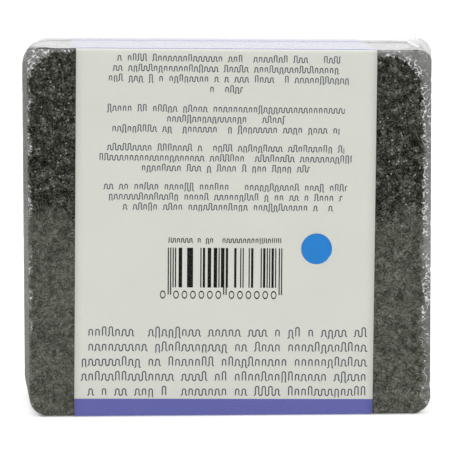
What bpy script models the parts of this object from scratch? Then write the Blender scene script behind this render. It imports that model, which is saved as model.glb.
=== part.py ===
"""A pumice stone block as it is sold: the stone, a paper band round it, a round sticker on the
band and clear shrink film round everything.

Metres, +Z up. The block stands on its narrow long side. +X is to the right of someone who faces
the printed side, and that side faces -Y. The origin is on the surface that the block stands on,
under the middle of the block.
"""

import math
import random

import bmesh
import bpy
from mathutils import Vector

# The stone: a sawn block with rounded corners, its rims rubbed round.
STONE_WIDTH = 0.1008
STONE_DEPTH = 0.0380
STONE_HEIGHT = 0.0906
CORNER_RADII = {  # of the wrapped block, over the film
    ("left", "bottom"): 0.0052,
    ("right", "bottom"): 0.0054,
    ("left", "top"): 0.0076,
    ("right", "top"): 0.0030,
}
RIM_RADIUS = 0.0014
CORNER_STEPS = 8
RIM_STEPS = 4
SIDE_LEAN = -0.0088  # sawn a little out of square: sideways drift for each metre of height
TOP_SLOPE = -0.0054  # the top falls to the right by this much for each metre of width

# The pores that the saw opened, and the places where a rim has crumbled.
PORE_COUNT = 190
PORE_RADIUS = (0.0007, 0.0016)
PORE_SINK = (0.15, 0.50)  # how far a pore's centre lies under the face, in pore radii
PORE_CLEARANCE = 0.0004  # stone left between two pores
PORE_TO_RIM = 0.0012  # stone left between a pore's centre and the rounding of the rim
PORE_TO_BAND = 0.0015
CHIP_COUNT = 15
CHIP_RADIUS = (0.0026, 0.0046)
CHIP_BITE = (0.0006, 0.0011)  # how deep a chip goes into the rim
CHIP_SPACING = 0.0110
CHIP_TO_CORNER = 0.0140  # from the stone's foot or top to the nearest chip
RANDOM_SEED = 41

# What is wrapped round the stone. A level is a distance out from the stone's own surface.
LAYER_GAP = 0.00025
BAND_WIDTH = 0.0754
BAND_SHIFT = -0.0013  # the band sits a little left of the middle
BAND_LEAN = 0.0030  # the band doesn't follow the stone's lean
BAND_LEVEL = LAYER_GAP
BAND_WALL = 0.00015
BAND_STEPS = 6

STICKER_RADIUS = 0.0039
STICKER_PLACE = (0.0217, 0.0424)  # X and Z of its centre, on the front of the band
STICKER_LEVEL = BAND_LEVEL + BAND_WALL + LAYER_GAP
STICKER_WALL = 0.00010
STICKER_SIDES = 40

FILM_LEVEL = STICKER_LEVEL + STICKER_WALL + LAYER_GAP
FILM_END_LEVEL = 0.00030  # at the ends the film lies straight on the stone
FILM_WALL = 0.00010
SEAM_HEIGHT = 0.00025  # the weld stands proud along the top and both ends
SEAM_WIDTH = 0.0005
SEAM_PLACE = 0.0075  # the weld lies behind the middle of the depth
SEAM_FOOT = 0.010  # how far above the ground the weld ends
VENT_RADIUS = 0.0012
VENT_PLACE = (-0.0095, 0.0270)  # Y and Z of the vent hole in the right end
VENT_SIDES = 16

FILM_REACH = FILM_LEVEL + FILM_WALL
STONE_BASE = FILM_REACH  # the film passes under the stone
STONE_TOP = STONE_BASE + STONE_HEIGHT
MIDDLE = (STONE_BASE + STONE_TOP) / 2
SAME_PLACE = 1e-6


def clear_scene():
    for obj in list(bpy.data.objects):
        bpy.data.objects.remove(obj)


def collection(name):
    made = bpy.data.collections.new(name)
    bpy.context.scene.collection.children.link(made)
    return made


def material(name, colour, roughness, alpha=1.0):
    made = bpy.data.materials.new(name)
    made.use_nodes = True
    shader = made.node_tree.nodes["Principled BSDF"]
    shader.inputs["Base Color"].default_value = (*colour, 1.0)
    shader.inputs["Roughness"].default_value = roughness
    shader.inputs["Metallic"].default_value = 0.0
    shader.inputs["Alpha"].default_value = alpha
    return made


def object_from(bm, name, home, finish=None):
    mesh = bpy.data.meshes.new(name)
    bm.to_mesh(mesh)
    bm.free()
    if finish is not None:
        mesh.materials.append(finish)
    made = bpy.data.objects.new(name, mesh)
    home.objects.link(made)
    return made


def helper(bm, name, home):
    """A cutter or a shape to be joined: it guides the modelling and isn't a piece."""
    made = object_from(bm, name, home)
    made.hide_render = True
    made.display_type = "WIRE"
    return made


def shade_smooth(obj, degrees):
    obj.data.shade_smooth()
    obj.data.set_sharp_from_angle(angle=math.radians(degrees))


def boolean(obj, tool, operation):
    modifier = obj.modifiers.new(f"{operation.title()} {tool.name}", "BOOLEAN")
    modifier.object = tool
    modifier.operation = operation
    modifier.solver = "EXACT"


def box(size, centre):
    bm = bmesh.new()
    bmesh.ops.create_cube(bm, size=1.0)
    bmesh.ops.scale(bm, vec=size, verts=bm.verts)
    bmesh.ops.translate(bm, vec=centre, verts=bm.verts)
    return bm


def disc(radius, thickness, sides):
    bm = bmesh.new()
    bmesh.ops.create_cone(
        bm, cap_ends=True, segments=sides, radius1=radius, radius2=radius, depth=thickness,
    )
    return bm


def round_edges(bm, edges, radius, steps):
    bmesh.ops.bevel(
        bm, geom=edges, offset=radius, segments=steps,
        profile=0.5, affect="EDGES", clamp_overlap=True,
    )


def skew(bm, lean):
    """Lean everything sideways and let it fall to the right towards the top. The foot stays flat."""
    for vert in bm.verts:
        vert.co.x += lean * (vert.co.z - MIDDLE)
        vert.co.z += TOP_SLOPE * vert.co.x * vert.co.z / STONE_TOP


def outline_slab(level, end_level, depth):
    """The stone's outline from the front as a slab, its sides moved out and its corners round."""
    half_width = STONE_WIDTH / 2 + end_level
    half_height = STONE_HEIGHT / 2 + level
    bm = box((2 * half_width, depth, 2 * half_height), (0, 0, MIDDLE))
    for (side, end), radius in CORNER_RADII.items():
        across = -half_width if side == "left" else half_width
        up = MIDDLE - half_height if end == "bottom" else MIDDLE + half_height
        corner = Vector((across, up))
        edges = [
            edge
            for edge in bm.edges
            if all((vert.co.xz - corner).length < SAME_PLACE for vert in edge.verts)
        ]
        round_edges(bm, edges, radius + level - FILM_REACH, CORNER_STEPS)
    skew(bm, SIDE_LEAN)
    return bm


def block(level, end_level):
    """The stone's own form with its faces moved out: corners rounded first, then the rims."""
    half_depth = STONE_DEPTH / 2 + level
    bm = outline_slab(level, end_level, 2 * half_depth)
    for face_y in (-half_depth, half_depth):
        rim = [
            edge
            for edge in bm.edges
            if all(abs(vert.co.y - face_y) < SAME_PLACE for vert in edge.verts)
        ]
        round_edges(bm, rim, RIM_RADIUS, RIM_STEPS)
    bmesh.ops.recalc_face_normals(bm, faces=bm.faces)
    return bm


def bare_spots(rng):
    """Endless random (point, outward direction) pairs on the faces that the band leaves bare."""
    half_width, half_depth = STONE_WIDTH / 2, STONE_DEPTH / 2
    band_edge = BAND_WIDTH / 2 + abs(BAND_SHIFT) + PORE_TO_BAND
    flat_width = half_width - RIM_RADIUS - PORE_TO_RIM
    flat_depth = half_depth - RIM_RADIUS - PORE_TO_RIM
    corner = max(CORNER_RADII.values())
    low, high = STONE_BASE + corner, STONE_TOP - corner
    areas = {
        "strips": 4 * (flat_width - band_edge) * (high - low),
        "ends": 4 * flat_depth * (high - low),
        "top": 4 * (half_width - corner - band_edge) * flat_depth,
    }
    while True:
        face = rng.choices(list(areas), weights=list(areas.values()))[0]
        side, front = rng.choice((-1, 1)), rng.choice((-1, 1))
        height = rng.uniform(low, high)
        along = rng.uniform(-flat_depth, flat_depth)
        if face == "strips":
            across = side * rng.uniform(band_edge, flat_width)
            yield Vector((across, front * half_depth, height)), Vector((0, front, 0))
        elif face == "ends":
            yield Vector((side * half_width, along, height)), Vector((side, 0, 0))
        else:
            across = side * rng.uniform(band_edge, half_width - corner)
            yield Vector((across, along, STONE_TOP)), Vector((0, 0, 1))


def add_hollow(bm, centre, radius, rng):
    """One faceted hollow: an icosahedron, turned at random so that no two look alike."""
    made = bmesh.ops.create_icosphere(bm, subdivisions=1, radius=radius)["verts"]
    turn = Vector([rng.gauss(0, 1) for _ in range(3)]).to_track_quat("Z", "Y").to_matrix()
    bmesh.ops.rotate(bm, cent=(0, 0, 0), matrix=turn, verts=made)
    bmesh.ops.translate(bm, vec=centre, verts=made)


def pore_cutter(rng):
    """Hollows of many sizes spread over the bare faces, each clear of those before it."""
    bm = bmesh.new()
    taken = []
    for point, out in bare_spots(rng):
        radius = PORE_RADIUS[0] + (PORE_RADIUS[1] - PORE_RADIUS[0]) * rng.random() ** 2
        clear = all(
            (point - other).length > radius + size + PORE_CLEARANCE for other, size in taken
        )
        if not clear:
            continue
        add_hollow(bm, point - out * radius * rng.uniform(*PORE_SINK), radius, rng)
        taken.append((point, radius))
        if len(taken) == PORE_COUNT:
            break
    skew(bm, SIDE_LEAN)
    return bm


def chip_cutter(rng):
    """Bigger hollows along the front and back rims of both ends."""
    bm = bmesh.new()
    taken = []
    diagonal = math.sqrt(0.5)
    while len(taken) < CHIP_COUNT:
        side, front = rng.choice((-1, 1)), rng.choice((-1, 1))
        radius, bite = rng.uniform(*CHIP_RADIUS), rng.uniform(*CHIP_BITE)
        rim_line = Vector((
            side * (STONE_WIDTH / 2 - RIM_RADIUS),
            front * (STONE_DEPTH / 2 - RIM_RADIUS),
            rng.uniform(STONE_BASE + CHIP_TO_CORNER, STONE_TOP - CHIP_TO_CORNER),
        ))
        out = Vector((side * diagonal, front * diagonal, 0))
        centre = rim_line + out * (RIM_RADIUS + radius - bite)
        if all((centre - other).length > CHIP_SPACING for other in taken):
            add_hollow(bm, centre, radius, rng)
            taken.append(centre)
    skew(bm, SIDE_LEAN)
    return bm


def make_stone(home, tools):
    rng = random.Random(RANDOM_SEED)
    finish = material("pumice", (0.085, 0.087, 0.070), 0.95)
    stone = object_from(block(0.0, 0.0), "pumice_stone", home, finish)
    boolean(stone, helper(pore_cutter(rng), "pores", tools), "DIFFERENCE")
    boolean(stone, helper(chip_cutter(rng), "rim_chips", tools), "DIFFERENCE")


def make_band(home):
    """A paper strip round the front, top, back and foot of the stone, open at both ends."""
    finish = material("printed_paper", (0.66, 0.67, 0.62), 0.6)
    depth = STONE_DEPTH + 2 * BAND_LEVEL
    height = STONE_HEIGHT + 2 * BAND_LEVEL
    bm = box((BAND_WIDTH, depth, height), (BAND_SHIFT, 0, MIDDLE))
    ends = [face for face in bm.faces if abs(face.calc_center_median().y) < SAME_PLACE]
    ends = [face for face in ends if abs(face.calc_center_median().z - MIDDLE) < SAME_PLACE]
    bmesh.ops.delete(bm, geom=ends, context="FACES")
    folds = [edge for edge in bm.edges if len(edge.link_faces) == 2]
    round_edges(bm, folds, RIM_RADIUS, BAND_STEPS)
    skew(bm, BAND_LEAN)
    band = object_from(bm, "paper_band", home, finish)
    wall = band.modifiers.new("Paper thickness", "SOLIDIFY")
    wall.thickness = BAND_WALL
    wall.offset = 1.0
    wall.use_even_offset = True
    shade_smooth(band, 35)


def make_sticker(home):
    finish = material("blue_paper", (0.024, 0.225, 0.610), 0.55)
    form = disc(STICKER_RADIUS, STICKER_WALL, STICKER_SIDES)
    sticker = object_from(form, "dot_sticker", home, finish)
    sticker.rotation_euler = (math.radians(90), 0, 0)
    across, up = STICKER_PLACE
    sticker.location = (across, -(STONE_DEPTH / 2 + STICKER_LEVEL + STICKER_WALL / 2), up)
    shade_smooth(sticker, 35)


def make_seam(tools):
    """The film's weld: a low ridge over the top and down both ends."""
    crest = FILM_WALL + SEAM_HEIGHT
    sunk = FILM_WALL / 2  # the ridge's foot lies within the film's wall
    form = outline_slab(FILM_LEVEL + crest, FILM_END_LEVEL + crest, SEAM_WIDTH)
    hollow = outline_slab(FILM_LEVEL + sunk, FILM_END_LEVEL + sunk, 2 * SEAM_WIDTH)
    foot = box((2 * STONE_WIDTH, STONE_DEPTH, 2 * SEAM_FOOT), (0, 0, 0))
    ridge = helper(form, "seam", tools)
    inside = helper(hollow, "seam_inside", tools)
    ridge.location.y = inside.location.y = SEAM_PLACE
    boolean(ridge, inside, "DIFFERENCE")
    boolean(ridge, helper(foot, "seam_foot", tools), "DIFFERENCE")
    return ridge


def make_vent(tools):
    hole = helper(disc(VENT_RADIUS, 6 * FILM_END_LEVEL, VENT_SIDES), "vent", tools)
    hole.rotation_euler = (0, math.radians(90), 0)
    hole.location = (STONE_WIDTH / 2 + FILM_END_LEVEL, *VENT_PLACE)
    return hole


def make_film(home, tools):
    """Clear film drawn tight over everything, with the weld outside and one small vent hole."""
    finish = material("clear_film", (0.95, 0.95, 0.96), 0.08, alpha=0.15)
    outside = block(FILM_REACH, FILM_END_LEVEL + FILM_WALL)
    film = object_from(outside, "shrink_film", home, finish)
    boolean(film, make_vent(tools), "DIFFERENCE")
    boolean(film, make_seam(tools), "UNION")
    inside = helper(block(FILM_LEVEL, FILM_END_LEVEL), "film_inside", tools)
    boolean(film, inside, "DIFFERENCE")
    shade_smooth(film, 35)


def main():
    clear_scene()
    home = collection("Wrapped pumice stone")
    tools = collection("Cutters")
    make_stone(home, tools)
    make_band(home)
    make_sticker(home)
    make_film(home, tools)


main()
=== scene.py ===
import math

import bpy
import numpy as np
from mathutils import Matrix, Vector


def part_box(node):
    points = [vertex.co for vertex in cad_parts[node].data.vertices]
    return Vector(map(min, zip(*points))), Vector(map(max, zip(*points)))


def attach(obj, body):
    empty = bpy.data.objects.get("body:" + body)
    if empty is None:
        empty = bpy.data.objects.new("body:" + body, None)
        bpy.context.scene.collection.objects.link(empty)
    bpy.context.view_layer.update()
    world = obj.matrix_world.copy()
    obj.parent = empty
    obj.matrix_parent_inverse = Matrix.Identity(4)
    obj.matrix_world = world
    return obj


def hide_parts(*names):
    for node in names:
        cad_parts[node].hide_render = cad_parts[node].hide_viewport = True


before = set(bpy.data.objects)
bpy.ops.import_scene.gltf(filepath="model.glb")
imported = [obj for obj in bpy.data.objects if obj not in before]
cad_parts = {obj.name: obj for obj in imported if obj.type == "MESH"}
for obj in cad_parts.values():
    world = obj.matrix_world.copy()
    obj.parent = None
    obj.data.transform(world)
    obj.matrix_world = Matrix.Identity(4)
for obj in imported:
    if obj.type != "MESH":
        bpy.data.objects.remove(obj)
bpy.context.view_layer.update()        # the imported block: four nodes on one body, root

mm = 0.001
print("frame loaded")

# The sawn block. Every layer is this form with its faces moved out.
blockForm = {
    "width": 0.1008,
    "depth": 0.0380,
    "height": 0.0906,
    # over the film, at the left or right (-1, 1) and low or high (-1, 1)
    "cornerRadius": {(-1, -1): 0.0048, (1, -1): 0.0046, (-1, 1): 0.0076, (1, 1): 0.0030},
    "rimRadius": 0.0014,
    "sideLean": -0.0088,  # sideways drift for each metre of height
    "topSlope": -0.0054,  # the top falls to the right by this much a metre
    "filmReach": 0.0011,  # the film's outside, over the front, top, back and foot
}
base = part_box("pumice_stone")[0].z
middle = base + blockForm["height"] / 2
stoneTop = base + blockForm["height"]


def skewed(places, sideLean):
    # x moves by sideLean for each metre of height, and z is stretched in proportion to itself by
    # 1 + slope * x / height, so that whatever is flat at the floor stays flat.
    moved = places.copy()
    moved[:, 0] += sideLean * (places[:, 2] - middle)
    moved[:, 2] *= 1 + blockForm["topSlope"] * moved[:, 0] / stoneTop
    return moved


def gridLines(edges, steps):
    # From the first edge to the last, each stretch cut evenly into parts of about its own step.
    parts = [
        np.linspace(low, high, max(1, round((high - low) / step)), endpoint=False)
        for low, high, step in zip(edges, edges[1:], steps)
    ]
    return np.concatenate(parts + [[edges[-1]]])


def boxGrid(lines):
    # The six faces of a box, each a grid of two of the three sets of lines, joined along the edges.
    counts = [len(line) for line in lines]
    weights = np.array([counts[1] * counts[2], counts[2], 1])
    faces = []
    for axis in range(3):
        first, second = (axis + 1) % 3, (axis + 2) % 3
        across, up = np.meshgrid(np.arange(counts[first]), np.arange(counts[second]), indexing="ij")
        for end in (0, counts[axis] - 1):
            key = end * weights[axis] + across * weights[first] + up * weights[second]
            quads = np.stack([key[:-1, :-1], key[1:, :-1], key[1:, 1:], key[:-1, 1:]], -1)
            quads = quads.reshape(-1, 4)
            faces.append(quads if end else quads[:, ::-1])
    keys, quads = np.unique(np.concatenate(faces), return_inverse=True)
    places = np.stack([
        lines[0][keys // weights[0]],
        lines[1][keys // weights[1] % counts[1]],
        lines[2][keys % counts[2]],
    ], 1)
    return places, quads.reshape(-1, 4)


def roundedBlock(lines, ends, around, rimRadius):
    # A box grown by ends to left and right and by around elsewhere. In a corner's square the
    # point (a, c) goes to (a, c) * max(a, c) / length(a, c), which turns the square into a quarter
    # disc. The same is done once more across each rim, between the outline and the flat face.
    # Returns places, outward directions, quads, and how much each point belongs to a rim.
    places, quads = boxGrid(lines)
    stone = np.array([blockForm["width"], blockForm["depth"], blockForm["height"]]) / 2
    half = stone + np.array([ends, around, around])
    places = places / stone * half
    side = np.where(places < 0, -1, 1)
    x, y, z = np.abs(places).T
    radius = np.zeros(len(places))
    for (left, low), corner in blockForm["cornerRadius"].items():
        here = (side[:, 0] == left) & (side[:, 2] == low)
        radius[here] = corner + around - blockForm["filmReach"]
    a = np.clip((x - half[0] + radius) / radius, 0, 1)
    c = np.clip((z - half[2] + radius) / radius, 0, 1)
    reach = np.maximum(a, c)
    length = np.maximum(np.hypot(a, c), 1e-12)
    a, c = a * reach / length, c * reach / length
    outX, outZ = a / np.maximum(reach, 1e-12), c / np.maximum(reach, 1e-12)
    out = np.clip(1 - radius * (1 - reach) / rimRadius, 0, 1)
    front = np.clip((y - half[1] + rimRadius) / rimRadius, 0, 1)
    share = np.maximum(out, front) / np.maximum(np.hypot(out, front), 1e-12)
    shift = rimRadius * (out * share - out)
    x = np.minimum(x, half[0] - radius) + radius * a + outX * shift
    z = np.minimum(z, half[2] - radius) + radius * c + outZ * shift
    y = np.minimum(y, half[1] - rimRadius) + rimRadius * front * share
    normals = np.stack([out * share * outX, front * share, out * share * outZ], 1) * side
    normals /= np.linalg.norm(normals, axis=1, keepdims=True)
    rim = 2 * out * share * front * share
    places = np.stack([x, y, z], 1) * side + [0, 0, middle]
    return places, normals, quads, rim


def scatter(cells, seed):
    # A repeatable number from 0 to 1 for each row of whole numbers.
    mixed = cells.astype(np.int64) @ np.array([73856093, 19349663, 83492791]) + seed * 374761393
    mixed = (mixed ^ (mixed >> 13)) * 1274126177
    mixed = mixed ^ (mixed >> 16)
    return (mixed & 0xFFFFFF) / 0xFFFFFF


def softNoise(places, size, seed):
    # Random values on a lattice of the given size, blended smoothly between its points: -1 to 1.
    cell = np.floor(places / size)
    part = places / size - cell
    part = part * part * (3 - 2 * part)
    total = np.zeros(len(places))
    for corner in np.ndindex(2, 2, 2):
        weight = np.prod(np.where(np.array(corner) == 1, part, 1 - part), axis=1)
        total += weight * scatter(cell + corner, seed)
    return 2 * total - 1


def hollows(places, spacing, radii, share, seed):
    # Round hollows strewn about, at most one to each cell of the spacing: radius less distance
    # squared over radius, the deepest of the neighbours. share is how many cells have one.
    cell = np.floor(places / spacing)
    depth = np.zeros(len(places))
    for step in np.ndindex(3, 3, 3):
        home = cell + np.array(step) - 1
        centre = np.stack([scatter(home, seed + k) for k in range(3)], 1)
        centre = (home + 0.15 + 0.7 * centre) * spacing
        radius = radii[0] + (radii[1] - radii[0]) * scatter(home, seed + 3) ** 2
        distance = np.linalg.norm(places - centre, axis=1)
        made = np.maximum(0, radius - distance**2 / radius)
        depth = np.maximum(depth, np.where(scatter(home, seed + 4) < share, made, 0))
    return depth


def storeValues(mesh, label, kind, domain, values):
    layer = mesh.attributes.new(label, kind, domain)
    field = "vector" if kind == "FLOAT_VECTOR" else "value"
    layer.data.foreach_set(field, values.astype(np.float32).ravel())


def meshPiece(name, places, polygons, finish):
    mesh = bpy.data.meshes.new(name)
    mesh.from_pydata(places.tolist(), [], polygons)
    mesh.polygons.foreach_set("use_smooth", np.ones(len(polygons), bool))
    mesh.materials.append(finish)
    piece = bpy.data.objects.new(name, mesh)
    bpy.context.scene.collection.objects.link(piece)
    return piece


def thicken(piece, wall, outward):
    # The second skin lies outside or inside the first, which stays where it is.
    solid = piece.modifiers.new("wall", "SOLIDIFY")
    solid.thickness = wall
    solid.offset = 1.0 if outward else -1.0


# Small helpers for node materials: a socket in values is linked, anything else is set.
def newFinish(name):
    finish = bpy.data.materials.new(name)
    finish.use_nodes = True
    finish.node_tree.nodes.clear()
    return finish, finish.node_tree


def node(tree, kind, values=None, **settings):
    made = tree.nodes.new(kind)
    for label, value in settings.items():
        setattr(made, label, value)
    for socket, value in (values or {}).items():
        if isinstance(value, bpy.types.NodeSocket):
            tree.links.new(value, made.inputs[socket])
        else:
            made.inputs[socket].default_value = value
    return made


def calc(tree, operation, *values, clamp=False):
    made = node(tree, "ShaderNodeMath", dict(enumerate(values)), operation=operation)
    made.use_clamp = clamp
    return made.outputs[0]


def spread(tree, value, low, high, toLow=0.0, toHigh=1.0, smooth=False):
    kind = "SMOOTHSTEP" if smooth else "LINEAR"
    values = {"Value": value, "From Min": low, "From Max": high, "To Min": toLow, "To Max": toHigh}
    return node(tree, "ShaderNodeMapRange", values, interpolation_type=kind).outputs[0]


def blend(tree, share, first, second, kind="MIX"):
    made = node(tree, "ShaderNodeMix", data_type="RGBA", blend_type=kind)
    for socket, value in ((0, share), (6, first), (7, second)):
        if isinstance(value, bpy.types.NodeSocket):
            tree.links.new(value, made.inputs[socket])
        else:
            made.inputs[socket].default_value = value
    return made.outputs[2]


def ramp(tree, value, stops):
    made = node(tree, "ShaderNodeValToRGB", {"Fac": value})
    line = made.color_ramp.elements
    while len(line) < len(stops):
        line.new(0.5)
    for element, (place, colour) in zip(line, stops):
        element.position = place
        element.color = (*colour, 1.0)
    return made.outputs["Color"]


def noise(tree, coords, scale, detail=2.0, roughness=0.5):
    values = {"Vector": coords, "Scale": scale, "Detail": detail, "Roughness": roughness}
    return node(tree, "ShaderNodeTexNoise", values).outputs["Fac"]


def grey(value):
    return (value, value, value, 1.0)


def flat(colour):
    return (*colour, 1.0)


def stored(tree, label, socket="Fac"):
    return node(tree, "ShaderNodeAttribute", attribute_name=label).outputs[socket]


def split(tree, vector):
    parts = node(tree, "ShaderNodeSeparateXYZ", {0: vector}).outputs
    return parts["X"], parts["Y"], parts["Z"]


def objectPlaces(tree):
    return node(tree, "ShaderNodeTexCoord").outputs["Object"]


def cellNoise(tree, coords, scale):
    # Voronoi cells: distance to the middle of the nearest, and its chance numbers.
    made = node(tree, "ShaderNodeTexVoronoi", {"Vector": coords, "Scale": scale})
    chances = node(tree, "ShaderNodeSeparateColor", {0: made.outputs["Color"]}).outputs
    return made.outputs["Distance"], chances


def finished(tree, surface):
    node(tree, "ShaderNodeOutputMaterial", {"Surface": surface.outputs[0]})


# Stone
stoneLook = {
    "endLevel": 0.00032,  # how far it lies outside the block form at the ends
    "level": 0.00078,  # and on its other faces
    "rimRadius": 0.0008,
    "covered": (-0.0385, 0.0357),  # the stretch that the band hides
    "mesh": 0.00042,  # spacing where the stone shows
    "coveredMesh": 0.0030,
    "smallPits": (0.0016, (0.00040, 0.00075), 0.60),  # spacing, radii, share of cells
    "largePits": (0.0048, (0.0008, 0.0013), 0.40),
    "pitDepth": 0.85,
    "rimWear": 0.00040,
    "waviness": 0.00012,
    "footDrop": 0.00018,  # bare stone reaches nearer to the film under it
    "grain": 0.00040,
    "shares": (0.40, 0.26, 0.34),  # of grains, fine noise and coarse noise in the brightness
    "noises": (2900.0, 520.0),  # scales of the fine and the coarse noise
    "speck": 0.00052,
    "speckShares": (0.10, 0.970),  # below the first a speck is a pore, painted dark as shade, above the second pale
    "dark": (0.0040, 0.0042, 0.0030),
    "body": (0.0330, 0.0342, 0.0260),
    "light": (0.1250, 0.1280, 0.1060),
    "white": (0.3600, 0.3650, 0.3250),
    "dust": (0.1080, 0.1110, 0.0910),
    "dustLine": 0.0505,  # height up to which dust has filled the pores
    "dustDrift": 0.012,  # how far that line wanders
    "dustFade": 0.0035,
    "dustCover": 0.66,
    "footDust": (0.022, 1.12),  # height below which it gets paler still, and by how much
    "pitShadeDepth": 0.0006,  # how deep a pit is fully dark with painted shade
}


def stoneFinish(look):
    # Grains of chance brightness, each split by finer noise, with open pores and a few pale specks
    # between them; pits and pores are darkened with painted shade. Below the dust line a thin veil of
    # dust evens them out.
    finish, tree = newFinish("pumice")
    coords = objectPlaces(tree)
    fineScale, coarseScale = look["noises"]
    grainShare, fineShare, coarseShare = look["shares"]
    grain = cellNoise(tree, coords, 1 / look["grain"])[1][0]
    fine = spread(tree, noise(tree, coords, fineScale, 2.0, 0.6), 0.25, 0.75)
    coarse = spread(tree, noise(tree, coords, coarseScale, 2.0, 0.5), 0.25, 0.75)
    mixed = calc(tree, "MULTIPLY_ADD", fine, fineShare, calc(tree, "MULTIPLY", grain, grainShare))
    mixed = calc(tree, "MULTIPLY_ADD", coarse, coarseShare, mixed)
    colour = ramp(tree, mixed, [
        (0.22, look["dark"]),
        (0.50, look["body"]),
        (0.76, look["light"]),
        (0.90, look["white"]),
    ])
    poreShare, paleShare = look["speckShares"]
    distance, chances = cellNoise(tree, coords, 1 / look["speck"])
    near = calc(tree, "LESS_THAN", distance, 0.36)
    pale = calc(tree, "MULTIPLY", near, calc(tree, "GREATER_THAN", chances[1], paleShare))
    poreShade = calc(tree, "MULTIPLY", near, calc(tree, "LESS_THAN", chances[1], poreShare))
    # Painted shade in the pits: the deeper a pit, the darker it is painted.
    poreShade = calc(tree, "MAXIMUM", calc(tree, "MULTIPLY", stored(tree, "pit_shade"), 0.75), poreShade)

    height = split(tree, coords)[2]
    reach, fade, cover = look["dustDrift"], look["dustFade"], look["dustCover"]
    drift = spread(tree, noise(tree, coords, 110.0, 4.0, 0.65), 0.0, 1.0, -reach, reach)
    level = calc(tree, "ADD", height, drift)
    low, high = look["dustLine"] - fade, look["dustLine"] + fade
    dusty = spread(tree, level, low, high, cover, 0.0, smooth=True)
    patchy = spread(tree, noise(tree, coords, 240.0, 4.0, 0.65), 0.3, 0.7, 0.86, 1.14)
    patchy = calc(tree, "MULTIPLY", patchy, spread(tree, mixed, 0.25, 0.75, 0.47, 1.55))
    footHeight, footGain = look["footDust"]
    patchy = calc(tree, "MULTIPLY", patchy, spread(tree, height, 0.0, footHeight, footGain, 1.0))
    dust = blend(tree, 1.0, flat(look["dust"]), patchy, "MULTIPLY")
    colour = blend(tree, dusty, colour, dust)
    clean = spread(tree, dusty, 0.0, cover, 1.0, 0.40)
    # Pores and pits are painted dark as shade, less where dust fills them.
    colour = blend(tree, calc(tree, "MULTIPLY", poreShade, clean), colour, flat(look["dark"]))
    colour = blend(tree, calc(tree, "MULTIPLY", pale, clean), colour, flat(look["white"]))
    relief = calc(tree, "SUBTRACT", mixed, calc(tree, "MULTIPLY", poreShade, 0.5))
    bump = node(tree, "ShaderNodeBump", {"Height": relief, "Strength": 0.6, "Distance": 0.00030})
    finished(tree, node(tree, "ShaderNodeBsdfPrincipled", {
        "Base Color": colour, "Roughness": 0.95, "Specular IOR Level": 0.0, "Normal": bump.outputs[0],
    }))
    return finish


def makeStone(look):
    # The rounded block, moved inwards by its pits, its worn rims and slow waves.
    width, depth, height = (blockForm[part] / 2 for part in ("width", "depth", "height"))
    lines = [
        gridLines([-width, *look["covered"], width], [look["mesh"], look["coveredMesh"], look["mesh"]]),
        gridLines([-depth, depth], [look["mesh"]]),
        gridLines([-height, height], [look["mesh"]]),
    ]
    places, normals, quads, rim = roundedBlock(
        lines, look["endLevel"], look["level"], look["rimRadius"]
    )
    small = hollows(places, *look["smallPits"], 11)
    large = hollows(places, *look["largePits"], 23)
    pits = np.maximum(small, large)
    bare = (places[:, 0] < look["covered"][0]) | (places[:, 0] > look["covered"][1])
    pits = np.where(bare, pits, 0)
    worn = look["rimWear"] * rim * np.clip(0.4 + softNoise(places, 2.6 * mm, 5), 0, 1)
    wave = look["waviness"] * (0.5 + 0.5 * softNoise(places, 9 * mm, 7))
    wave *= 1 - 0.8 * np.abs(normals[:, 0])
    inward = look["pitDepth"] * pits + np.where(bare, worn + wave, 0)
    inward -= look["footDrop"] * bare * (normals[:, 2] < -0.95)
    places = skewed(places - normals * inward[:, None], blockForm["sideLean"])
    stone = meshPiece("sawn_stone", places, quads.tolist(), stoneFinish(look))
    # how dark the painted shade in each pit is
    storeValues(stone.data, "pit_shade", "FLOAT", "POINT", np.clip(pits / look["pitShadeDepth"], 0, 1))
    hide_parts("pumice_stone")
    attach(stone, "root")


makeStone(stoneLook)
print("stone made")

# Paper band: its path runs down the back, under the foot, up the front, over the top and down the
# back again, where it overlaps its own start.
bandLook = {
    "left": -0.0390,
    "right": 0.0364,
    "lean": 0.0030,  # sideways drift for each metre of height
    "level": 0.00082,  # how far it lies outside the block form
    "overlapLevel": 0.00093,
    "overlap": 0.009,
    "overlapHeight": 0.030,  # where its upper end stops on the back
    "overlapRamp": 0.004,  # height over which it comes down to the stone again
    "wall": 0.00010,
    "rimRadius": 0.0006,
    "ripple": 0.00002,
    "columns": 30,
    "stripeTop": 0.0044,
    "backPanel": (0.0360, 0.0840),  # heights of the bare pale panel on the back
    "backMargin": 2,  # columns of violet beside it
    "panel": (0.650, 0.660, 0.603),
    "violet": (0.126, 0.132, 0.395),
    "ink": (0.026, 0.027, 0.068),
    "inkCover": 0.95,
    "barInk": (0.005, 0.005, 0.004),
}

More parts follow.
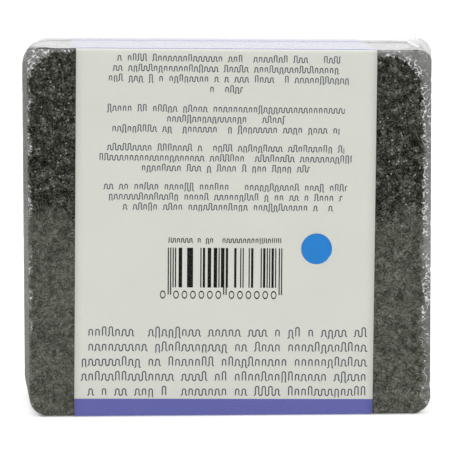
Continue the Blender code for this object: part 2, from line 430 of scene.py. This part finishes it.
# The print, in metres from the floor. Generic strokes stand in for words, and plain rings for
# figures.
printLook = {
    "centre": -0.00135,
    "slope": -0.0080,  # its lines fall to the right by this much a metre
    "sloped": (0.004, 0.0914),  # between these heights
    "paragraphs": [  # middle of the first line, and half the length of each
        (0.09015, (0.0286, 0.0284, 0.0308, 0.0042)),
        (0.07755, (0.0298, 0.0149, 0.0286)),
        (0.06775, (0.0298, 0.0318, 0.0212)),
        (0.05798, (0.0306, 0.0294, 0.0271)),
    ],
    "lineGap": 0.00254,
    "small": (0.0022, 0.00126, 0.00013),  # row height, width of an arch, half a stroke's width
    "codeLine": (0.04445, 0.01435),  # middle and half length
    "code": (0.0016, 0.00104, 0.00013),
    "largeTop": 0.02133,
    "largeCount": 5,
    "largeGap": 0.00376,
    "largeHalf": 0.0362,
    "large": (0.0032, 0.00168, 0.00015),
    "bars": (0.03265, 0.0427),  # from and to
    "rings": 0.0297,
    "barsHalf": 0.01443,
    "modules": 95,
    "period": 46,  # modules from one long pair of bars to the next
    # above these chances an arch is tall, reaches low, is joined to the next one, or is there at
    # all, and a module of the bars is inked
    "tall": 0.76,
    "deep": 0.90,
    "joined": 0.45,
    "there": 0.16,
    "inked": 0.52,
}
# Rings stand among the feet of the long bars, and plain words are in the ink of the bars.
printKinds = {"words": 1, "bars": 2, "rings": 3, "plainWords": 4}


def printRows(look):
    # Each printed row: bottom, top, kind, left end of the print, unit of width, where it starts
    # and ends in those units, and half a stroke's width in them.
    rows = []

    def words(centre, half, size, kind="words"):
        tall, pitch, stroke = size
        low, left, last = centre - tall / 2, look["centre"] - half, 2 * half / pitch
        rows.append((low, low + tall, printKinds[kind], left, pitch, 0, last, stroke / pitch))

    for top, halves in look["paragraphs"]:
        for line, half in enumerate(halves):
            words(top - line * look["lineGap"], half, look["small"])
    words(*look["codeLine"], look["code"], kind="plainWords")
    for line in range(look["largeCount"]):
        words(look["largeTop"] - line * look["largeGap"], look["largeHalf"], look["large"])
    module = 2 * look["barsHalf"] / look["modules"]
    left = look["centre"] - look["barsHalf"]
    low, high = look["bars"]
    rows.append((low, high, printKinds["bars"], left, module, 0, look["modules"], 0))
    rows.append((look["rings"], low, printKinds["rings"], left, module, -8.5, look["modules"], 0))
    return sorted(rows)


def bandPath(look, rows):
    # Rows of the band's grid along its path: y, z, outward direction, height above the stone.
    level, bend = look["level"], look["rimRadius"]
    back = blockForm["depth"] / 2 + level
    low = middle - blockForm["height"] / 2 - level
    high = middle + blockForm["height"] / 2 + level
    seam = look["overlapHeight"]
    lift = look["overlapLevel"] - look["level"]
    edges = sorted({look["stripeTop"], *(edge for row in rows for edge in row[:2])})
    frontHeights = np.concatenate([
        gridLines([start, end], [0.004])[:-1]
        for start, end in zip([low + bend, *edges], [*edges, high - bend])
    ])
    turn = np.linspace(0, math.pi / 2, 7)[:-1]
    backward = gridLines([-back + bend, back - bend], [0.003])[:-1]
    backDown = gridLines([low + bend, seam], [0.004])[:0:-1]
    backAgain = gridLines([seam - look["overlap"], seam, high - bend], [0.0015, 0.004])[::-1]
    path = []

    def straight(y, z, ny, nz, lifted=0.0):
        y, z, lifted = np.broadcast_arrays(y, z, lifted)
        path.append(np.stack([y, z, np.full(len(y), ny), np.full(len(y), nz), lifted], 1))

    def arc(y, z, start):
        ny, nz = np.cos(start - turn), np.sin(start - turn)
        path.append(np.stack([y + bend * ny, z + bend * nz, ny, nz, 0 * turn], 1))

    straight(back, backDown, 1, 0)
    arc(back - bend, low + bend, 0)
    straight(backward[::-1], low, 0, -1)
    arc(-back + bend, low + bend, -math.pi / 2)
    straight(-back, frontHeights, -1, 0)
    arc(-back + bend, high - bend, math.pi)
    straight(backward, high, 0, 1)
    arc(back - bend, high - bend, math.pi / 2)
    lifted = lift * np.clip((seam - backAgain) / look["overlapRamp"] + 1, 0, 1)
    straight(back, backAgain, 1, 0, lifted)
    return np.concatenate(path)


def paperFinish(look, printed):
    finish, tree = newFinish("printed_paper")
    coords = objectPlaces(tree)
    along, up, _ = split(tree, node(tree, "ShaderNodeUVMap", uv_map="print").outputs[0])
    kind, first, last = split(tree, stored(tree, "row", "Vector"))
    rowNumber, halfStroke, _ = split(tree, stored(tree, "stroke", "Vector"))
    within = calc(
        tree, "MULTIPLY", calc(tree, "GREATER_THAN", along, first), calc(tree, "LESS_THAN", along, last)
    )
    part = calc(tree, "FRACT", along)
    letter = calc(tree, "MULTIPLY_ADD", rowNumber, 137.0, calc(tree, "FLOOR", along))

    def chance(shift):
        key = node(tree, "ShaderNodeCombineXYZ", {0: letter, 1: shift}).outputs[0]
        return node(tree, "ShaderNodeTexWhiteNoise", {0: key}, noise_dimensions="2D").outputs["Value"]

    def isKind(name):
        return calc(tree, "COMPARE", kind, float(printKinds[name]), 0.1)

    # Words: a scribble of arches, each as wide as a letter, on a line 0.35 widths up. Their
    # height is by chance, and so are the gaps and the links under them. How far a point is from
    # the stroke follows from its distance to the middle of the nearest arch, over or under.
    sideways = calc(tree, "ABSOLUTE", calc(tree, "SUBTRACT", part, 0.5))
    tall = calc(tree, "GREATER_THAN", chance(4.5), printed["tall"])
    crown = calc(tree, "MULTIPLY_ADD", tall, 0.40, 1.06)
    above = calc(tree, "MAXIMUM", calc(tree, "SUBTRACT", up, crown), 0.0)
    dip = calc(tree, "GREATER_THAN", chance(12.5), printed["deep"])
    dip = calc(tree, "MULTIPLY", dip, 0.30)
    below = calc(tree, "MAXIMUM", calc(tree, "SUBTRACT", calc(tree, "SUBTRACT", 0.60, dip), up), 0.0)
    inward = calc(tree, "SUBTRACT", 0.5, sideways)

    def length(across, upwards):
        square = calc(tree, "MULTIPLY_ADD", upwards, upwards, calc(tree, "MULTIPLY", across, across))
        return calc(tree, "SQRT", square)

    def arch(across, upwards):
        return calc(tree, "ABSOLUTE", calc(tree, "SUBTRACT", length(across, upwards), 0.25))

    isOver = calc(tree, "GREATER_THAN", up, 0.8)
    off = node(tree, "ShaderNodeMix", {0: isOver, 2: arch(inward, below), 3: arch(sideways, above)})
    strokes = calc(tree, "LESS_THAN", off.outputs[0], halfStroke)
    link = calc(tree, "MAXIMUM", calc(tree, "LESS_THAN", sideways, 0.345), isOver)
    link = calc(tree, "MAXIMUM", link, calc(tree, "GREATER_THAN", chance(15.5), printed["joined"]))
    strokes = calc(tree, "MULTIPLY", strokes, link)
    there = calc(tree, "GREATER_THAN", chance(9.5), printed["there"])
    strokes = calc(tree, "MULTIPLY", strokes, there)
    isPlain = isKind("plainWords")
    strokes = calc(tree, "MULTIPLY", strokes, calc(tree, "MAXIMUM", isKind("words"), isPlain))

    # Bars: a module is inked by chance, but the three long pairs at the ends and in the middle
    # are always there. Rings stand between the long pairs, seven modules apart.
    inPeriod = calc(tree, "FLOORED_MODULO", along, float(printed["period"]))
    module = calc(tree, "FLOOR", inPeriod)
    pair = calc(tree, "LESS_THAN", module, 2.5)
    even = calc(tree, "LESS_THAN", calc(tree, "FLOORED_MODULO", module, 2.0), 0.5)
    bars = calc(tree, "GREATER_THAN", chance(2.5), printed["inked"])
    bars = calc(tree, "MULTIPLY", bars, calc(tree, "SUBTRACT", 1.0, pair))
    longBars = calc(tree, "MULTIPLY", pair, even)
    longBars = calc(tree, "MULTIPLY", longBars, calc(tree, "GREATER_THAN", along, 0.0))
    ringPart = calc(tree, "FRACT", calc(tree, "DIVIDE", calc(tree, "SUBTRACT", inPeriod, 3.5), 7.0))
    ringX = calc(tree, "MULTIPLY", calc(tree, "SUBTRACT", ringPart, 0.5), 2.9)
    ringY = calc(tree, "MULTIPLY", calc(tree, "SUBTRACT", up, 0.38), 2.75)
    offRing = calc(tree, "ABSOLUTE", calc(tree, "SUBTRACT", length(ringX, ringY), 0.82))
    ring = calc(tree, "LESS_THAN", offRing, 0.16)
    ring = calc(tree, "MULTIPLY", ring, calc(tree, "GREATER_THAN", module, 3.5))
    upper = calc(tree, "GREATER_THAN", up, 0.38)
    ringRow = calc(tree, "MAXIMUM", ring, calc(tree, "MULTIPLY", longBars, upper))
    dark = calc(
        tree, "MAXIMUM",
        calc(tree, "MULTIPLY", isKind("bars"), calc(tree, "MAXIMUM", bars, longBars)),
        calc(tree, "MULTIPLY", isKind("rings"), ringRow),
    )
    dark = calc(tree, "MULTIPLY", dark, within)
    strokes = calc(tree, "MULTIPLY", strokes, within)

    fibres = noise(tree, coords, 900.0, 4.0, 0.6)
    cloud = noise(tree, coords, 60.0, 2.0, 0.5)
    shade = spread(tree, calc(tree, "ADD", fibres, cloud), 0.6, 1.4, 0.975, 1.02)
    colour = blend(tree, stored(tree, "pale"), flat(look["violet"]), flat(look["panel"]))
    ink = blend(tree, isPlain, flat(look["ink"]), flat(look["barInk"]))
    colour = blend(tree, calc(tree, "MULTIPLY", strokes, look["inkCover"]), colour, ink)
    colour = blend(tree, dark, colour, flat(look["barInk"]))
    colour = blend(tree, 1.0, colour, shade, "MULTIPLY")
    bump = node(tree, "ShaderNodeBump", {"Height": fibres, "Strength": 0.15, "Distance": 0.00003})
    finished(tree, node(tree, "ShaderNodeBsdfPrincipled", {
        "Base Color": colour, "Roughness": 0.60, "Specular IOR Level": 0.12, "Normal": bump.outputs[0],
    }))
    return finish


def makeBand(look, printed):
    # A grid of rows along the path and columns across it. Printed rows tilt a little.
    rows = printRows(printed)
    path = bandPath(look, rows)
    count, columns = len(path), look["columns"] + 1
    y, z, outY, outZ, lifted = (path[:, [k]] for k in range(5))
    x = np.linspace(look["left"], look["right"], columns)[None, :] + look["lean"] * (z - middle)
    low, high = printed["sloped"]
    tilt = np.where((outY < -0.99) & (z > low) & (z < high), printed["slope"] * x, 0)
    places = np.stack([x, y + outY * lifted + 0 * x, z + outZ * lifted + tilt], -1).reshape(-1, 3)
    normals = np.broadcast_to(np.stack([0 * z, outY, outZ], -1), (count, columns, 3)).reshape(-1, 3)
    ripple = look["ripple"] * softNoise(places, 14 * mm, 31)
    places = skewed(places + normals * ripple[:, None], 0.0)
    index = np.arange(count * columns).reshape(count, columns)
    quads = np.stack([index[:-1, :-1], index[:-1, 1:], index[1:, 1:], index[1:, :-1]], -1)
    quads = quads.reshape(-1, 4)

    front = (path[:-1, 2] < -0.99) & (path[1:, 2] < 0.0)
    rowInfo = np.zeros((count - 1, columns - 1, 3))
    stroke = np.zeros((count - 1, columns - 1, 3))
    place = np.zeros((count - 1, columns - 1, 4, 2))
    wordKinds = (printKinds["words"], printKinds["plainWords"])
    for number, (low, high, kind, left, pitch, first, last, weight) in enumerate(rows):
        here = front & (path[:-1, 1] > low - 1e-6) & (path[1:, 1] < high + 1e-6)
        rowInfo[here] = (kind, first, last)
        stroke[here] = (number, weight, 0)
        for corner, (down, over) in enumerate(((0, 0), (0, 1), (1, 1), (1, 0))):
            span = slice(0, -1) if over == 0 else slice(1, None)
            rowAt = path[1:, 1] if down else path[:-1, 1]
            xAt = x[1:, span] if down else x[:-1, span]
            place[here, :, corner, 0] = ((xAt - left) / pitch)[here]
            unit = pitch if kind in wordKinds else high - low
            place[here, :, corner, 1] = ((rowAt[here] - low) / unit)[:, None]
    paleRow = (path[:-1, 2] < -0.1) & (path[:-1, 1] > look["stripeTop"] - 1e-6)
    backRow = (path[:-1, 2] > 0.99) & (path[1:, 1] > look["backPanel"][0])
    backRow &= path[:-1, 1] < look["backPanel"][1]
    pale = np.repeat(paleRow[:, None], columns - 1, axis=1)
    pale[backRow, look["backMargin"]:-look["backMargin"]] = True

    band = meshPiece("wrapped_band", places, quads.tolist(), paperFinish(look, printed))
    storeValues(band.data, "row", "FLOAT_VECTOR", "FACE", rowInfo)
    storeValues(band.data, "stroke", "FLOAT_VECTOR", "FACE", stroke)
    storeValues(band.data, "pale", "FLOAT", "FACE", pale)
    layer = band.data.uv_layers.new(name="print")
    layer.data.foreach_set("uv", place.astype(np.float32).ravel())
    thicken(band, look["wall"], outward=True)
    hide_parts("paper_band")
    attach(band, "root")


makeBand(bandLook, printLook)
print("band made")

# Sticker
stickerLook = {
    "centre": (0.0217, 0.0424),
    "radius": 0.00388,
    "level": 0.00094,
    "rise": 0.00001,  # of its edge above its middle
    "wall": 0.00006,
    "nick": 0.00022,
    "nickAngle": -0.62,  # radians, from the right and up
    "colour": (0.002, 0.203, 0.606),
}


def stickerFinish(look):
    finish, tree = newFinish("blue_paper")
    coords = objectPlaces(tree)
    cloud = noise(tree, coords, 380.0, 3.0, 0.6)
    fibres = noise(tree, coords, 1600.0, 3.0, 0.6)
    shade = spread(tree, cloud, 0.3, 0.7, 0.93, 1.06)
    colour = blend(tree, 1.0, flat(look["colour"]), shade, "MULTIPLY")
    bump = node(tree, "ShaderNodeBump", {"Height": fibres, "Strength": 0.2, "Distance": 0.00003})
    finished(tree, node(tree, "ShaderNodeBsdfPrincipled", {
        "Base Color": colour, "Roughness": 0.5, "Specular IOR Level": 0.3, "Normal": bump.outputs[0],
    }))
    return finish


def makeSticker(look):
    # Rings round a centre. The edge has one small nick, and the middle lies a hair lower.
    steps, count = 72, 9
    across, up = look["centre"]
    front = blockForm["depth"] / 2 + look["level"]
    angles = np.linspace(0, 2 * math.pi, steps + 1)[:-1]
    gap = np.abs((angles - look["nickAngle"] + math.pi) % (2 * math.pi) - math.pi)
    edge = look["radius"] - look["nick"] * np.exp(-((gap / 0.07) ** 2))
    rings = np.linspace(0.12, 1, count)[:, None]
    x, z = across + rings * edge * np.cos(angles), up + rings * edge * np.sin(angles)
    places = np.stack([x, -front - look["rise"] * rings**2 + 0 * x, z], -1).reshape(-1, 3)
    places = np.concatenate([places, [[across, -front, up]]])
    index = np.arange(count * steps).reshape(count, steps)
    around = np.roll(index, -1, axis=1)
    quads = np.stack([index[:-1], index[1:], around[1:], around[:-1]], -1).reshape(-1, 4)
    fan = np.stack([np.full(steps, count * steps), index[0], around[0]], 1)
    sticker = meshPiece("round_sticker", places, quads.tolist() + fan.tolist(), stickerFinish(look))
    thicken(sticker, look["wall"], outward=True)
    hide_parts("dot_sticker")
    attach(sticker, "root")


makeSticker(stickerLook)
print("sticker made")

# Shrink film
filmLook = {
    "endLevel": 0.00040,  # how far it lies outside the block form at the ends
    "level": 0.00110,  # and on its other faces
    "rimRadius": 0.0007,
    "wall": 0.00004,
    "sag": 0.00018,  # how far it draws in beside the band
    "crinkle": 0.00012,
    "pleat": 0.00022,
    "squareness": {-1: (2.7, 2.7), 1: (2.0, 9.0)},  # at the left, low and high: behind, in front
    "gatherReach": (0.0060, 0.0085),  # how far from a corner it is gathered, left and right
    "sideVeil": (0.0003, 0.0019),  # width of the cloudy edge along the left and the right side
    "topVeil": (0.0011, 0.0012),  # and along the top
    "cornerVeil": (0.0064, 0.0092),  # and how far along both edges it cuts a top corner off
    "ear": (0.0001, 0.0032),  # how far the weld stands off the top right corner, above and beside
    "earReach": (0.008, 0.007),
    "earDepth": 0.018,
    "finWidth": 0.00032,
    "seamHeight": 0.00022,
    "seamWidth": 0.00028,
    "seamPlace": 0.0075,
    "seamFoot": 0.010,
    "ventRadius": 0.0012,
    "ventPlace": (-0.0095, 0.0270),
    "curls": (760.0, 0.011, 0.032),  # scale of the creases, and half the core and full width of the painted glint lines along them
    "glintSpotCells": (1250.0, 0.27, 0.82),  # painted glint dots: scale, radius in cells, and above which chance one shows
    # how strongly the painted glints show
    "glintCover": 0.80,
    "weldVeil": 0.5,
    "rimHighlightGain": 3.2,
    # strength of the painted highlight on the top right rim
    "earVeil": 5.0,
    "clearGloss": 0.0025,  # share of light that one skin mirrors, face on
    "fullGloss": 0.90,  # the most that smooth film mirrors
    "dullGloss": 0.07,  # the most that it mirrors where it clings to the rough ends
    "roughness": 0.06,
    "mesh": 0.00036,  # spacing along the rims
    "coarse": ((-0.0420, 0.0420), (-0.0155, 0.0155), (-0.0380, 0.0370)),  # wider between these
    "cloud": 0.118,  # how cloudy a full veil makes it; it also sets how bright the painted rim highlight is
    "frostAndGlintGrey": 0.77,  # how pale the cloudy places and the painted glints on the creases are
}


def filmFinish(look):
    # Clear, with a mirror that grows towards grazing views. Where it is gathered or clings to rough
    # stone it clouds over; painted glints show as fine white crease lines and dots, and a painted
    # highlight whitens the top right rim.
    finish, tree = newFinish("clear_film")
    coords = objectPlaces(tree)
    crease = stored(tree, "crease")
    curlScale, core, limit = look["curls"]
    curls = noise(tree, coords, curlScale, 1.5, 0.5)
    swell = noise(tree, coords, 160.0, 1.0, 0.5)
    height = calc(tree, "MULTIPLY", curls, crease)
    height = calc(tree, "MULTIPLY_ADD", swell, 0.3, height)
    bump = node(tree, "ShaderNodeBump", {"Height": height, "Strength": 1.0, "Distance": 0.00030})
    facing = node(tree, "ShaderNodeLayerWeight", {"Blend": 0.5, "Normal": bump.outputs[0]})
    lift = calc(tree, "POWER", facing.outputs["Facing"], 5.0)
    most = spread(tree, stored(tree, "smoothness"), 0.0, 1.0, look["dullGloss"], look["fullGloss"])
    mirror = calc(tree, "MULTIPLY_ADD", lift, most, look["clearGloss"], clamp=True)

    # Painted glints: thin white lines on the creases, broken up, and white dots.
    offLine = calc(tree, "ABSOLUTE", calc(tree, "SUBTRACT", curls, 0.5))
    lines = spread(tree, offLine, core, limit, 1.0, 0.0)
    broken = spread(tree, noise(tree, coords, 420.0, 1.0, 0.5), 0.36, 0.50, 0.0, 1.0)
    lines = calc(tree, "MULTIPLY", lines, broken)
    spotScale, spotRadius, spotShare = look["glintSpotCells"]
    distance, chances = cellNoise(tree, coords, spotScale)
    glintSpots = calc(tree, "LESS_THAN", distance, spotRadius)
    glintSpots = calc(tree, "MULTIPLY", glintSpots, calc(tree, "GREATER_THAN", chances[0], spotShare))
    glints = calc(tree, "MAXIMUM", lines, glintSpots)
    where = spread(tree, crease, 0.25, 0.70, 0.0, look["glintCover"], smooth=True)
    glints = calc(tree, "MULTIPLY", glints, where)
    cloudAndGlints = calc(tree, "MULTIPLY", stored(tree, "veilAndHighlight"), look["cloud"])
    cloudAndGlints = calc(tree, "MAXIMUM", cloudAndGlints, glints)

    clear = node(tree, "ShaderNodeBsdfTransparent")
    edge = spread(tree, facing.outputs["Facing"], 0.95, 1.0, 1.0, 0.45)
    gloss = node(tree, "ShaderNodeBsdfGlossy", {
        "Color": edge, "Roughness": look["roughness"], "Normal": bump.outputs[0],
    })
    # Pale grey for the clouded film and for the painted glints and rim highlight.
    frostAndGlintGrey = node(tree, "ShaderNodeBsdfDiffuse", {"Color": grey(look["frostAndGlintGrey"])})
    body = node(tree, "ShaderNodeMixShader", {0: cloudAndGlints, 1: clear.outputs[0], 2: frostAndGlintGrey.outputs[0]})
    mixed = {0: mirror, 1: body.outputs[0], 2: gloss.outputs[0]}
    finished(tree, node(tree, "ShaderNodeMixShader", mixed))
    return finish


def makeFilm(look):
    # The rounded block, moved outwards by creases, pleats, weld and ear, and inwards by its sag.
    width, depth, height = (blockForm[part] / 2 for part in ("width", "depth", "height"))
    left, right = bandLook["left"], bandLook["right"]
    seam, (ventY, ventZ) = look["seamPlace"], look["ventPlace"]
    ring, ventZ = 1.5 * look["ventRadius"], ventZ - middle
    # The grid is finer along the rims, round the vent hole and at the weld.
    (xLow, xHigh), (yLow, yHigh), (zLow, zHigh) = look["coarse"]
    fine = look["mesh"]
    lines = [
        gridLines([-width, xLow, left, right, xHigh, width], [fine, 0.0008, 0.0024, 0.0008, fine]),
        gridLines(
            [-depth, yLow, ventY - ring, ventY + ring, seam - 0.0006, seam + 0.0006, yHigh, depth],
            [fine, 0.0012, 0.0004, 0.0012, 0.00015, 0.0012, fine],
        ),
        gridLines(
            [-height, zLow, ventZ - ring, ventZ + ring, zHigh, height],
            [0.0005, 0.0011, 0.0004, 0.0011, fine],
        ),
    ]
    places, normals, quads, _ = roundedBlock(
        lines, look["endLevel"], look["level"], look["rimRadius"]
    )
    # The vent hole: squares of the grid round its middle are pulled into circles, and the quads
    # inside the smallest are left out.
    fromVent = places[:, 1:] - [ventY, ventZ + middle]
    square = np.abs(fromVent).max(1)
    atRight = places[:, 0] > width
    near = (square < ring) & atRight & (square > 0)
    toCircle = np.clip((ring - square[near]) / (ring - look["ventRadius"]), 0, 1)
    factor = square[near] / np.linalg.norm(fromVent[near], axis=1)
    places[near, 1:] += fromVent[near] * (toCircle * (factor - 1))[:, None]
    hole = (square < look["ventRadius"] - 1e-5) & atRight
    quads = quads[~hole[quads].any(1)]

    # At the left corners it is taut past the rounded stone: each arc turns into the squarer curve
    # |u|^p + |v|^p = 1, and p, 2 for a circle, changes from behind the middle to the front.
    half = np.array([width + look["endLevel"], depth + look["level"], height + look["level"]])
    for side, (behind, before) in look["squareness"].items():
        radius = blockForm["cornerRadius"][-1, side]
        fromArc = np.stack([-places[:, 0], side * (places[:, 2] - middle)], 1)
        fromArc -= half[::2] - radius
        cut = (fromArc > 0).all(1)
        fromArc = fromArc[cut]
        part = np.clip((0.008 - places[cut, 1]) / 0.026, 0, 1)
        power = behind + (before - behind) * part * part * (3 - 2 * part)
        along = fromArc / np.linalg.norm(fromArc, axis=1)[:, None]
        growth = (along ** power[:, None]).sum(1) ** (-1 / power) - 1
        places[cut, 0] -= fromArc[:, 0] * growth
        places[cut, 2] += fromArc[:, 1] * growth * side

    x, y, z = places.T
    outX, outY, outZ = np.abs(normals).T
    isEnd = np.clip(outX * 1.6 - 0.3, 0, 1)
    bare = np.clip(np.maximum(left - x, x - right) / 0.0006, 0, 1)
    high = np.clip((z - base - 0.012) / 0.030, 0, 1)

    # Near the block's eight corners the film gathers in pleats that run in towards the corner.
    away = np.stack([np.abs(x) - width, np.abs(y) - depth, np.abs(z - middle) - height], 1)
    fromCorner = np.linalg.norm(away, axis=1)
    reach = np.where(x < 0, *look["gatherReach"])
    gathered = np.exp(-((fromCorner / reach) ** 2)) * (0.35 + 0.65 * high)
    turned = np.arctan2(away[:, 2] + 0.006, away[:, 0] + 0.006)
    fan = np.stack([turned * 0.004, fromCorner * 0.12, y * 0.25], 1)
    pleats = 1 - np.abs(softNoise(fan + np.sign(places) * 7 * mm, 0.0006, 41))

    # The cloudy edge is narrow on the left and wide on the right, cuts the corners off slantwise
    # and fades towards the foot. Painted glints, white lines and dots, line its inner border, and a
    # painted highlight makes the rim above the right strip nearly white. off is the distance from
    # that border, negative in the cloud.
    fromSide, fromFace = half[:2, None] - np.abs([x, y])
    fromTop = half[2] - (z - middle)
    sideVeil, topVeil, cornerVeil = (
        np.where(x < 0, *look[part]) for part in ("sideVeil", "topVeil", "cornerVeil")
    )
    fromSide = np.where(isEnd > 0.5, fromFace * 0.6, fromSide)
    off = np.minimum(fromSide - sideVeil, fromTop - topVeil)
    off = np.minimum(off, 0.7 * (fromSide + fromTop - cornerVeil))
    off += 0.0008 * softNoise(places, 2.8 * mm, 45) + 0.0004 * softNoise(places, 1.1 * mm, 46)
    fade = (0.30 + 0.70 * high) * bare
    veilAndHighlight = np.clip(0.5 - off / 0.0010, 0, 1) * (1 - 0.5 * isEnd)
    veilAndHighlight = np.maximum(veilAndHighlight, 0.2 * isEnd) * fade * np.where(outZ > 0.6, 0.06, 1)
    crease = np.exp(-(((off + 0.0002) / 0.00075) ** 2))
    crease += (0.42 + 0.30 * gathered * (x < 0)) * (off < 0)
    crease = np.clip(crease, 0, 1) * (0.55 + 0.45 * high) * bare
    crease *= (1 - 0.5 * isEnd) * np.where(outZ > 0.6, 0.12, 1)
    # Painted highlight: the top rim above the right strip is painted nearly white.
    paintedRimHighlight = np.exp(-(((fromTop - 0.0002) / 0.00025) ** 2)) * (x > 0) * (z > middle) * (outY > 0.3)
    paintedRimHighlight *= bare * np.clip(0.50 + 1.1 * softNoise(places, 0.7 * mm, 48), 0, 1)

    outward = look["crinkle"] * crease * softNoise(places, 1.1 * mm, 43)
    outward += look["pleat"] * gathered * (pleats - 0.6) * bare
    edge = np.clip((np.maximum(left - x, x - right) + 0.0008) / 0.0020, 0, 1)
    sag = look["sag"] * edge * edge * (3 - 2 * edge) * (1 - gathered)
    outward -= np.where(isEnd < 0.1, sag, 0)
    outward += 0.00002 * softNoise(places, 6 * mm, 47)
    welded = np.exp(-(((y - seam) / look["seamWidth"]) ** 2)) * (outY < 0.2)
    welded *= (z > look["seamFoot"]) & (normals[:, 2] > -0.5)
    outward += look["seamHeight"] * welded

    # At the top right corner the film stands off as an ear, drawn out along its weld.
    corner = blockForm["cornerRadius"][1, 1]
    beyond = np.stack([half[0] - corner - x, z - middle - half[2] + corner], 1)
    beyond = np.maximum(beyond * [1, -1], 0) / look["earReach"]
    ear = (look["ear"][0] + look["ear"][1] * outX) * np.exp(-(beyond**2).sum(1))
    ear *= (x > 0) * (z > middle) * np.clip(1 - 2 * outY, 0, 1)
    fin = np.exp(-(((y - seam) / look["finWidth"]) ** 2))
    pale = look["earVeil"] * (0.3 + 0.7 * np.exp(-(((y - seam) / 0.005) ** 2)))
    earVeil = pale * (ear / sum(look["ear"])) ** 2
    outward += ear * (0.45 * fin + 0.55 * np.clip(1 - np.abs(y - seam) / look["earDepth"], 0, 1))
    outward = np.where(normals[:, 2] < -0.9, 0, outward)
    places = skewed(places + normals * outward[:, None], blockForm["sideLean"])
    places[:, 2] = np.maximum(places[:, 2], 0)
    # The veil also carries the painted rim highlight.
    veilAndHighlight = np.clip(veilAndHighlight + look["weldVeil"] * welded, 0, 1) + look["rimHighlightGain"] * paintedRimHighlight + earVeil
    smoothness = np.clip(4.2 - 6 * outX - (normals[:, 2] < -0.3), 0, 1)
    film = meshPiece("clear_wrap", places, quads.tolist(), filmFinish(look))
    storeValues(film.data, "crease", "FLOAT", "POINT", np.clip(crease, 0, 1))
    storeValues(film.data, "veilAndHighlight", "FLOAT", "POINT", veilAndHighlight)
    storeValues(film.data, "smoothness", "FLOAT", "POINT", smoothness)
    thicken(film, look["wall"], outward=False)
    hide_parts("shrink_film")
    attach(film, "root")


makeFilm(filmLook)
print("film made")

# Camera and studio
studio = {
    "distance": 0.99922,
    "yaw": math.radians(-4.81),
    "rise": math.radians(6.70),
    "roll": math.radians(0.378),
    "lens": 312.5,
    "sensor": 36.0,
    "target": (0.00024, 0.0, 0.04616),
    "floor": 0.60,
    "world": 0.60,
    "sun": 1.95,
    "backdrop": 1.0,
    "floorGlow": 0.50,
    "sunTilt": (math.radians(10), math.radians(-4), 0.0),
    "sunAngle": math.radians(60),
    "lampAim": (0.0, 0.0, 0.05),
    "lamps": {  # place, size, power
        "right_light": ((0.75, 0.05, 0.45), 0.15, 1.6),
        "left_light": ((-0.80, 0.25, 0.40), 0.15, 1.2),
    },
}


def makeCamera(look):
    yaw, rise = look["yaw"], look["rise"]
    back = Vector((math.sin(yaw) * math.cos(rise), -math.cos(yaw) * math.cos(rise), math.sin(rise)))
    camera = bpy.data.objects.new("camera", bpy.data.cameras.new("camera"))
    bpy.context.scene.collection.objects.link(camera)
    camera.data.lens = look["lens"]
    camera.data.sensor_width = look["sensor"]
    camera.data.clip_start = 0.05
    turn = back.to_track_quat("Z", "Y").to_matrix().to_4x4() @ Matrix.Rotation(look["roll"], 4, "Z")
    camera.matrix_world = Matrix.Translation(Vector(look["target"]) + back * look["distance"]) @ turn
    bpy.context.scene.camera = camera


def makeStage(look):
    # A wide floor that glows a little, as a light table does, and a lit backdrop far behind it.
    floorFinish, tree = newFinish("studio_floor")
    matt = node(tree, "ShaderNodeBsdfDiffuse", {"Color": grey(look["floor"])})
    lit = node(tree, "ShaderNodeEmission", {"Color": grey(1.0), "Strength": look["floorGlow"]})
    finished(tree, node(tree, "ShaderNodeAddShader", {0: matt.outputs[0], 1: lit.outputs[0]}))
    glow, tree = newFinish("studio_backdrop")
    strength = {"Color": grey(1.0), "Strength": look["backdrop"]}
    finished(tree, node(tree, "ShaderNodeEmission", strength))
    quad = [[0, 1, 2, 3]]
    floor = np.array([[-4, -3, 0], [4, -3, 0], [4, 3, 0], [-4, 3, 0]])
    panel = np.array([[-4, 3, 0], [4, 3, 0], [4, 3, 2.5], [-4, 3, 2.5]])
    meshPiece("studio_floor", floor, quad, floorFinish)
    meshPiece("studio_backdrop", panel, quad, glow)


def makeLights(look):
    world = bpy.data.worlds.new("studio")
    world.use_nodes = True
    world.node_tree.nodes["Background"].inputs["Color"].default_value = grey(1.0)
    world.node_tree.nodes["Background"].inputs["Strength"].default_value = look["world"]
    bpy.context.scene.world = world
    sun = bpy.data.objects.new("top_light", bpy.data.lights.new("top_light", "SUN"))
    sun.data.energy = look["sun"]
    sun.data.angle = look["sunAngle"]
    sun.rotation_euler = look["sunTilt"]
    bpy.context.scene.collection.objects.link(sun)
    for name, (place, size, power) in look["lamps"].items():
        lamp = bpy.data.objects.new(name, bpy.data.lights.new(name, "AREA"))
        lamp.data.size = size
        lamp.data.energy = power
        lamp.location = place
        outward = Vector(place) - Vector(look["lampAim"])
        lamp.rotation_euler = outward.to_track_quat("Z", "Y").to_euler()
        bpy.context.scene.collection.objects.link(lamp)


makeCamera(studio)
makeStage(studio)
makeLights(studio)
bpy.context.scene.view_settings.view_transform = "Standard"
print("studio made")
